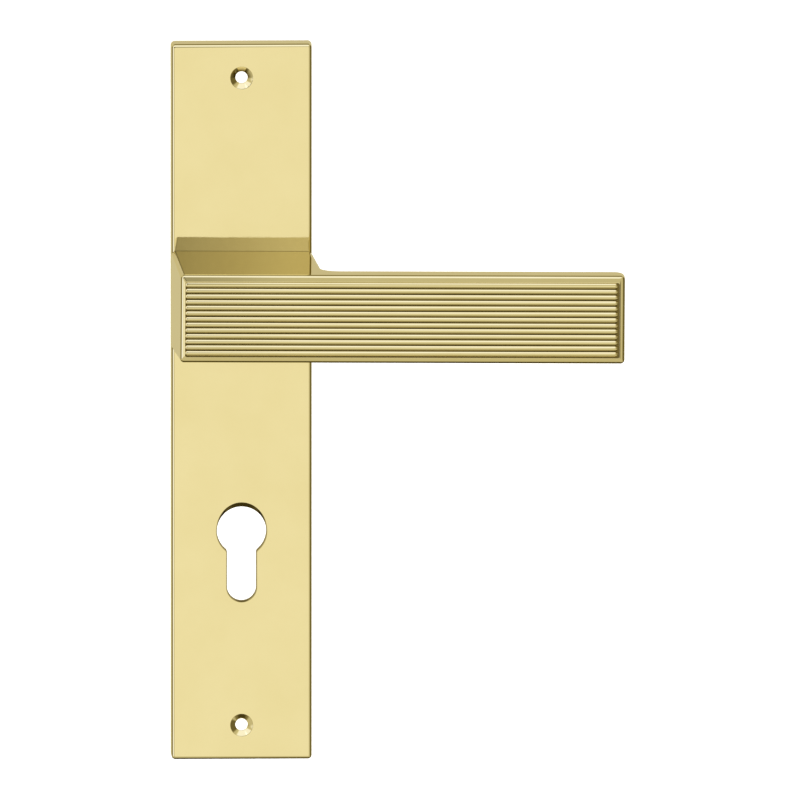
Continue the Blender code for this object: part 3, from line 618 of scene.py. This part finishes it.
class Nodes:
    """Short way to build a material's node tree."""

    def __init__(self, tree):
        self.tree = tree

    def add(self, kind, **settings):
        """New node with the given properties."""
        node = self.tree.nodes.new(kind)
        for name, value in settings.items():
            setattr(node, name, value)
        return node

    def link(self, source, target):
        """Join two sockets."""
        self.tree.links.new(source, target)

    def mapping(self, coordinates, scale):
        """Object coordinates, scaled."""
        node = self.add("ShaderNodeMapping")
        node.inputs["Scale"].default_value = scale
        self.link(coordinates, node.inputs["Vector"])
        return node.outputs["Vector"]

    def noise(self, vector, scale, detail=3.0, roughness=0.5):
        """Noise value from 0 to 1."""
        node = self.add("ShaderNodeTexNoise")
        node.inputs["Scale"].default_value = scale
        node.inputs["Detail"].default_value = detail
        node.inputs["Roughness"].default_value = roughness
        self.link(vector, node.inputs["Vector"])
        return node.outputs["Fac"]

    def span(self, value, low, high, to_low, to_high):
        """Value carried from one range to another."""
        node = self.add("ShaderNodeMapRange")
        numbers = {"From Min": low, "From Max": high, "To Min": to_low, "To Max": to_high}
        for name, number in numbers.items():
            node.inputs[name].default_value = number
        self.link(value, node.inputs["Value"])
        return node.outputs["Result"]

    def ramp(self, value, stops):
        """Colours along a value."""
        node = self.add("ShaderNodeValToRGB")
        elements = node.color_ramp.elements
        while len(elements) < len(stops):
            elements.new(0.5)
        for element, (place, colour) in zip(elements, stops):
            element.position = place
            element.color = (*colour, 1.0)
        self.link(value, node.inputs["Fac"])
        return node.outputs["Color"]

    def math(self, operation, first, second):
        """Sum, product and so on of two values, each a socket or a number."""
        node = self.add("ShaderNodeMath", operation=operation)
        for socket, value in zip(node.inputs, (first, second)):
            if isinstance(value, (int, float)):
                socket.default_value = value
            else:
                self.link(value, socket)
        return node.outputs["Value"]

    def bump(self, height, strength, distance, under=None):
        """Bump from a height."""
        node = self.add("ShaderNodeBump")
        node.inputs["Strength"].default_value = strength
        node.inputs["Distance"].default_value = distance
        self.link(height, node.inputs["Height"])
        if under is not None:
            self.link(under, node.inputs["Normal"])
        return node.outputs["Normal"]


def new_material(name, metallic, roughness):
    """Principled material with its nodes, shader and object coordinates."""
    material = bpy.data.materials.new(name)
    material.use_nodes = True
    nodes = Nodes(material.node_tree)
    shader = material.node_tree.nodes["Principled BSDF"]
    shader.inputs["Metallic"].default_value = metallic
    shader.inputs["Roughness"].default_value = roughness
    place = nodes.add("ShaderNodeTexCoord").outputs["Object"]
    return material, nodes, shader, place


def polished_brass(name, painted_shade=None, width=None):
    """Mirror-polished pale brass: faint blotches, haze and fine polishing marks.

    Its second argument paints shade in hollows: the depths, along the object's Y, between which the colour
    goes from dark to the brass's own, and the dark colour. Width keeps the painted shade to the keyhole and
    the upper fixing hole's top, that far to each side.
    """
    material, nodes, shader, place = new_material(name, 1.0, 0.03)
    blotch = nodes.noise(place, 55.0, 4.0)
    colour = nodes.ramp(blotch, [(0.30, (0.858, 0.752, 0.415)), (0.70, (0.880, 0.778, 0.445))])
    # Painted shade: the colour darkens deeper in the hollows, on the plate only round the keyhole and the
    # upper fixing hole's top
    if painted_shade:
        (dark_depth, unshaded_depth), tone = painted_shade
        split = nodes.add("ShaderNodeSeparateXYZ")
        nodes.link(place, split.inputs[0])
        across, depth, height = split.outputs
        dark = nodes.span(depth, dark_depth, unshaded_depth, 1.0, 0.0)
        if width:
            share = 0.0
            for low, high in PAINTED_SHADE_HEIGHTS:
                band = nodes.math("MULTIPLY", nodes.span(height, low - PAINTED_SHADE_FADE, low, 0.0, 1.0),
                                  nodes.span(height, high, high + PAINTED_SHADE_FADE, 1.0, 0.0))
                share = nodes.math("ADD", band, share)
            across = nodes.math("ABSOLUTE", across, 0.0)
            near = nodes.span(across, width, width + PAINTED_SHADE_FADE, 1.0, 0.0)
            share = nodes.math("MULTIPLY", share, near)
            dark = nodes.math("MULTIPLY", dark, share)
        mix = nodes.add("ShaderNodeMix", data_type="RGBA")
        nodes.link(dark, mix.inputs["Factor"])
        nodes.link(colour, mix.inputs[6])
        mix.inputs[7].default_value = (*tone, 1.0)
        colour = mix.outputs[2]
    nodes.link(colour, shader.inputs["Base Color"])
    shader.inputs["Specular Tint"].default_value = (1.0, 0.97, 0.87, 1.0)
    haze = nodes.noise(place, 140.0, 5.0, 0.6)
    nodes.link(nodes.span(haze, 0.3, 0.7, 0.018, 0.045), shader.inputs["Roughness"])
    marks = nodes.noise(nodes.mapping(place, (30.0, 30.0, 2200.0)), 1.0, 2.0)
    waves = nodes.noise(place, 260.0, 1.0)
    coarse = nodes.bump(waves, 0.25, 0.00002)
    nodes.link(nodes.bump(marks, 0.10, 0.00001, coarse), shader.inputs["Normal"])
    return material


def zinc_plated():
    """Zinc-plated steel: soft sheen, faint crystals and brushing."""
    material, nodes, shader, place = new_material("zinc_plated_sheet", 1.0, 0.35)
    crystals = nodes.add("ShaderNodeTexVoronoi")
    crystals.inputs["Scale"].default_value = 420.0
    nodes.link(place, crystals.inputs["Vector"])
    cloud = nodes.noise(place, 60.0, 5.0)
    mixed = nodes.math("ADD", nodes.math("MULTIPLY", crystals.outputs["Distance"], 0.25), cloud)
    tint = nodes.ramp(mixed, [(0.35, (0.51, 0.54, 0.67)), (0.85, (0.63, 0.66, 0.81))])
    nodes.link(tint, shader.inputs["Base Color"])
    nodes.link(nodes.span(cloud, 0.3, 0.7, 0.27, 0.42), shader.inputs["Roughness"])
    brushed = nodes.noise(nodes.mapping(place, (1800.0, 1800.0, 60.0)), 1.0, 3.0)
    nodes.link(nodes.bump(brushed, 0.20, 0.00003), shader.inputs["Normal"])
    return material


def dark_spring_steel():
    """Oiled spring steel, dark with lighter rubs."""
    material, nodes, shader, place = new_material("spring_steel_oiled", 1.0, 0.35)
    rub = nodes.noise(place, 300.0, 6.0, 0.6)
    tint = nodes.ramp(rub, [(0.35, (0.21, 0.23, 0.28)), (0.75, (0.38, 0.40, 0.47))])
    nodes.link(tint, shader.inputs["Base Color"])
    nodes.link(nodes.span(rub, 0.3, 0.7, 0.25, 0.45), shader.inputs["Roughness"])
    nodes.link(nodes.bump(rub, 0.15, 0.00003), shader.inputs["Normal"])
    return material


def moulded_nylon():
    """White nylon with a fine moulded grain."""
    material, nodes, shader, place = new_material("white_nylon_moulded", 0.0, 0.45)
    grain = nodes.noise(place, 2500.0, 4.0)
    cloud = nodes.noise(place, 90.0, 3.0)
    tint = nodes.ramp(cloud, [(0.3, (0.79, 0.78, 0.73)), (0.7, (0.84, 0.83, 0.79))])
    nodes.link(tint, shader.inputs["Base Color"])
    nodes.link(nodes.span(grain, 0.3, 0.7, 0.38, 0.52), shader.inputs["Roughness"])
    nodes.link(nodes.bump(grain, 0.25, 0.00003), shader.inputs["Normal"])
    return material


# ---------------------------------------------------------------- pieces on the frame

def show(piece, body, material, slot, *replaced):
    """Give a new piece its body and finish, and hide the CAD nodes it stands for; the slot is not used."""
    piece.data.materials.clear()
    piece.data.materials.append(material)
    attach(piece, body)
    if replaced:
        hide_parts(*replaced)


def dress():
    """Put every piece on its body with its material."""
    brass = polished_brass("polished_brass_mirror")
    # The reeds' grooves and the plate's holes get painted shade in their depths
    reeds = polished_brass("polished_brass_reeds", REED_PAINTED_SHADE)
    plate = polished_brass("polished_brass_plate", PLATE_PAINTED_SHADE, PAINTED_SHADE_REACH)
    finishes = {"polished_brass": brass, "zinc_plated_steel": zinc_plated(),
                "spring_steel": dark_spring_steel(), "white_nylon": moulded_nylon()}
    show(cover_plate(), "plate", plate, "polished_brass", "cover_plate")
    show(lever_casting(), "lever", brass, "polished_brass", "lever_body")
    show(lever_journal(), "lever", brass, "polished_brass")
    show(reeded_panel(), "lever", reeds, "polished_brass", "reeded_insert")
    for subpart in frame["record"]["subparts"]:
        node = frame["nodes"][subpart["node"]]
        node.data.materials.clear()
        node.data.materials.append(finishes[subpart["material_slot"]])


# ---------------------------------------------------------------- camera, floor and light

def add_camera():
    """Parallel view, turned a little to the left and looking down on the handle."""
    back = Vector((math.sin(CAMERA_AZIMUTH) * math.cos(CAMERA_ELEVATION),
                   -math.cos(CAMERA_AZIMUTH) * math.cos(CAMERA_ELEVATION), math.sin(CAMERA_ELEVATION)))
    right = Vector((math.cos(CAMERA_AZIMUTH), math.sin(CAMERA_AZIMUTH), 0.0))
    up = back.cross(right)
    aim = Vector(AIM_FROM_PLATE) + AIM_RIGHT * right + AIM_UP * up
    data = bpy.data.cameras.new("camera")
    data.type = "ORTHO"
    data.ortho_scale = VIEW_WIDTH
    data.clip_start = 0.1
    data.clip_end = 60.0
    camera = bpy.data.objects.new("camera", data)
    camera.location = aim + CAMERA_DISTANCE * back
    camera.rotation_mode = "QUATERNION"
    camera.rotation_quaternion = (-back).to_track_quat("-Z", "Y")
    bpy.context.scene.collection.objects.link(camera)
    bpy.context.scene.camera = camera


def add_floor():
    """Plain pale floor under the object, out of its reflections."""
    size = FLOOR_SIZE / 2
    height = cad_box[0].z - FLOOR_DROP
    mesh = bpy.data.meshes.new("floor")
    corners = [(x * size, y * size, height) for x, y in ((-1, -1), (1, -1), (1, 1), (-1, 1))]
    mesh.from_pydata(corners, [], [(0, 1, 2, 3)])
    floor = bpy.data.objects.new("floor", mesh)
    bpy.context.scene.collection.objects.link(floor)
    material = bpy.data.materials.new("pale_floor")
    material.use_nodes = True
    nodes = Nodes(material.node_tree)
    shader = material.node_tree.nodes["Principled BSDF"]
    shader.inputs["Base Color"].default_value = (0.92, 0.92, 0.92, 1.0)
    shader.inputs["Roughness"].default_value = 0.9
    shader.inputs["Specular IOR Level"].default_value = 0.0
    shader.inputs["Emission Color"].default_value = (1.0, 1.0, 1.0, 1.0)
    shader.inputs["Emission Strength"].default_value = 0.55
    clear = nodes.add("ShaderNodeBsdfTransparent")
    mix = nodes.add("ShaderNodeMixShader")
    nodes.link(nodes.add("ShaderNodeNewGeometry").outputs["Backfacing"], mix.inputs[0])
    nodes.link(shader.outputs[0], mix.inputs[1])
    nodes.link(clear.outputs[0], mix.inputs[2])
    nodes.link(mix.outputs[0], material.node_tree.nodes["Material Output"].inputs["Surface"])
    mesh.materials.append(material)
    floor.visible_glossy = False


def aim(azimuth, elevation):
    """Direction from the object, azimuth from the front towards the right, both angles in degrees."""
    turn, rise = math.radians(azimuth), math.radians(elevation)
    return Vector((math.sin(turn) * math.cos(rise), -math.cos(turn) * math.cos(rise), math.sin(rise)))


# Soft lights round the object: direction, inner and outer half angle in degrees, strength added
SOFTBOXES = (
    (aim(1.5, -9), 7.0, 14.0, 0.35),
    (aim(0, 49), 23.0, 34.0, 0.50),
    (aim(-46, -3), 13.0, 21.0, 0.48),
    (aim(-46, 32), 12.0, 22.0, 0.48),
)
# Dark flags: direction, inner and outer half angle in degrees, share of the light kept
FLAGS = (
    (aim(90, 0), 36.0, 49.0, 0.24),
    (aim(-96, 0), 22.0, 31.0, 0.32),
    (aim(0, 112), 23.0, 36.0, 0.38),
    (aim(0, -112), 47.0, 59.0, 0.32),
    (aim(0, -95), 22.0, 34.0, 0.30),
)
# Coloured patches: direction, inner and outer half angle in degrees, share of green and of blue
GELS = (
    (aim(-170, -9), 9.0, 22.0, 0.97, 0.80),
    (aim(1.5, 16), 14.0, 20.0, 1.02, 1.08),
    (aim(-46, -3), 13.0, 21.0, 1.03, 1.20),
)
BASE_LIGHT = 0.62
# Red, green and blue of the light: share in most of the room and in the softboxes, and the power that makes
# dark parts warm
WARMTH = ((1.0, 1.0, 0.96), (0.973, 1.02, 1.04), (0.85, 1.12, 1.42))
WHITE_LIGHT = 1.1


def add_surroundings():
    """Studio all round, drawn as soft lights and dark flags far away; the camera sees plain white."""
    world = bpy.data.worlds.new("studio")
    world.use_nodes = True
    bpy.context.scene.world = world
    nodes = Nodes(world.node_tree)
    background = world.node_tree.nodes["Background"]
    output = world.node_tree.nodes["World Output"]
    direction = nodes.add("ShaderNodeTexCoord").outputs["Generated"]

    def lobe(towards, inner, outer, low, high):
        dot = nodes.add("ShaderNodeVectorMath", operation="DOT_PRODUCT")
        nodes.link(direction, dot.inputs[0])
        dot.inputs[1].default_value = Vector(towards).normalized()
        node = nodes.add("ShaderNodeMapRange", interpolation_type="SMOOTHSTEP")
        numbers = (math.cos(math.radians(outer)), math.cos(math.radians(inner)), low, high)
        for name, number in zip(("From Min", "From Max", "To Min", "To Max"), numbers):
            node.inputs[name].default_value = number
        nodes.link(dot.outputs["Value"], node.inputs["Value"])
        return node.outputs["Result"]

    light = BASE_LIGHT
    for towards, inner, outer, strength in SOFTBOXES:
        light = nodes.math("ADD", light, lobe(towards, inner, outer, 0.0, strength))
    for towards, inner, outer, kept in FLAGS:
        light = nodes.math("MULTIPLY", light, lobe(towards, inner, outer, 1.0, kept))
    colour = nodes.add("ShaderNodeCombineColor")
    for index, (room, softbox, power) in enumerate(WARMTH):
        part = nodes.math("MULTIPLY", nodes.math("POWER", light, power),
                          nodes.span(light, 1.0, WHITE_LIGHT, room, softbox))
        for towards, inner, outer, *shares in GELS if index else ():
            part = nodes.math("MULTIPLY", part, lobe(towards, inner, outer, 1.0, shares[index - 1]))
        nodes.link(part, colour.inputs[index])
    nodes.link(colour.outputs["Color"], background.inputs["Color"])
    plain = nodes.add("ShaderNodeBackground")
    plain.inputs["Strength"].default_value = 1.0
    plain.inputs["Color"].default_value = (1.0, 1.0, 1.0, 1.0)
    mix = nodes.add("ShaderNodeMixShader")
    nodes.link(nodes.add("ShaderNodeLightPath").outputs["Is Camera Ray"], mix.inputs[0])
    nodes.link(background.outputs[0], mix.inputs[1])
    nodes.link(plain.outputs[0], mix.inputs[2])
    nodes.link(mix.outputs[0], output.inputs["Surface"])


def add_card():
    """Smoked glass card in front, up on the left: it only shows in reflections, fading out to the right."""
    mesh = bpy.data.meshes.new("card")
    left, right, low, high = CARD
    mesh.from_pydata([(left, CARD_AWAY, low), (right, CARD_AWAY, low), (right, CARD_AWAY, high),
                      (left, CARD_AWAY, high)], [], [(0, 1, 2, 3)])
    card = bpy.data.objects.new("card", mesh)
    bpy.context.scene.collection.objects.link(card)
    material = bpy.data.materials.new("smoked_card")
    material.use_nodes = True
    nodes = Nodes(material.node_tree)
    material.node_tree.nodes.remove(material.node_tree.nodes["Principled BSDF"])
    place = nodes.add("ShaderNodeSeparateXYZ")
    nodes.link(nodes.add("ShaderNodeTexCoord").outputs["Object"], place.inputs[0])
    smoke = CARD_SMOKE
    sides = ((0, left, 1), (0, right, -1), (2, low, 1), (2, high, -1))
    for (axis, edge, inwards), fade in zip(sides, CARD_FADES):
        share = nodes.span(place.outputs[axis], edge, edge + inwards * fade, 0.0, 1.0)
        smoke = nodes.math("MULTIPLY", share, smoke)
    clear = nodes.add("ShaderNodeBsdfTransparent")
    tone = nodes.add("ShaderNodeCombineColor")
    for socket in tone.inputs:
        nodes.link(nodes.math("SUBTRACT", 1.0, smoke), socket)
    nodes.link(tone.outputs["Color"], clear.inputs["Color"])
    nodes.link(clear.outputs[0], material.node_tree.nodes["Material Output"].inputs["Surface"])
    mesh.materials.append(material)
    card.visible_camera = False
    card.visible_shadow = False
    card.visible_diffuse = False


def add_key():
    """Large soft light overhead for the floor and the matt pieces; it isn't seen in reflections."""
    data = bpy.data.lights.new("overhead", "AREA")
    data.shape = "DISK"
    data.size = KEY_SIZE
    data.energy = KEY_POWER
    lamp = bpy.data.objects.new("overhead", data)
    lamp.location = KEY_PLACE
    lamp.rotation_euler = (-Vector(lamp.location)).to_track_quat("-Z", "Y").to_euler()
    lamp.visible_glossy = False
    bpy.context.scene.collection.objects.link(lamp)


for old in list(bpy.context.scene.objects):
    if old.type in ("LIGHT", "CAMERA"):
        bpy.data.objects.remove(old, do_unlink=True)
bpy.context.scene.view_settings.view_transform = "Standard"
dress()
add_camera()
add_floor()
add_surroundings()
add_card()
add_key()
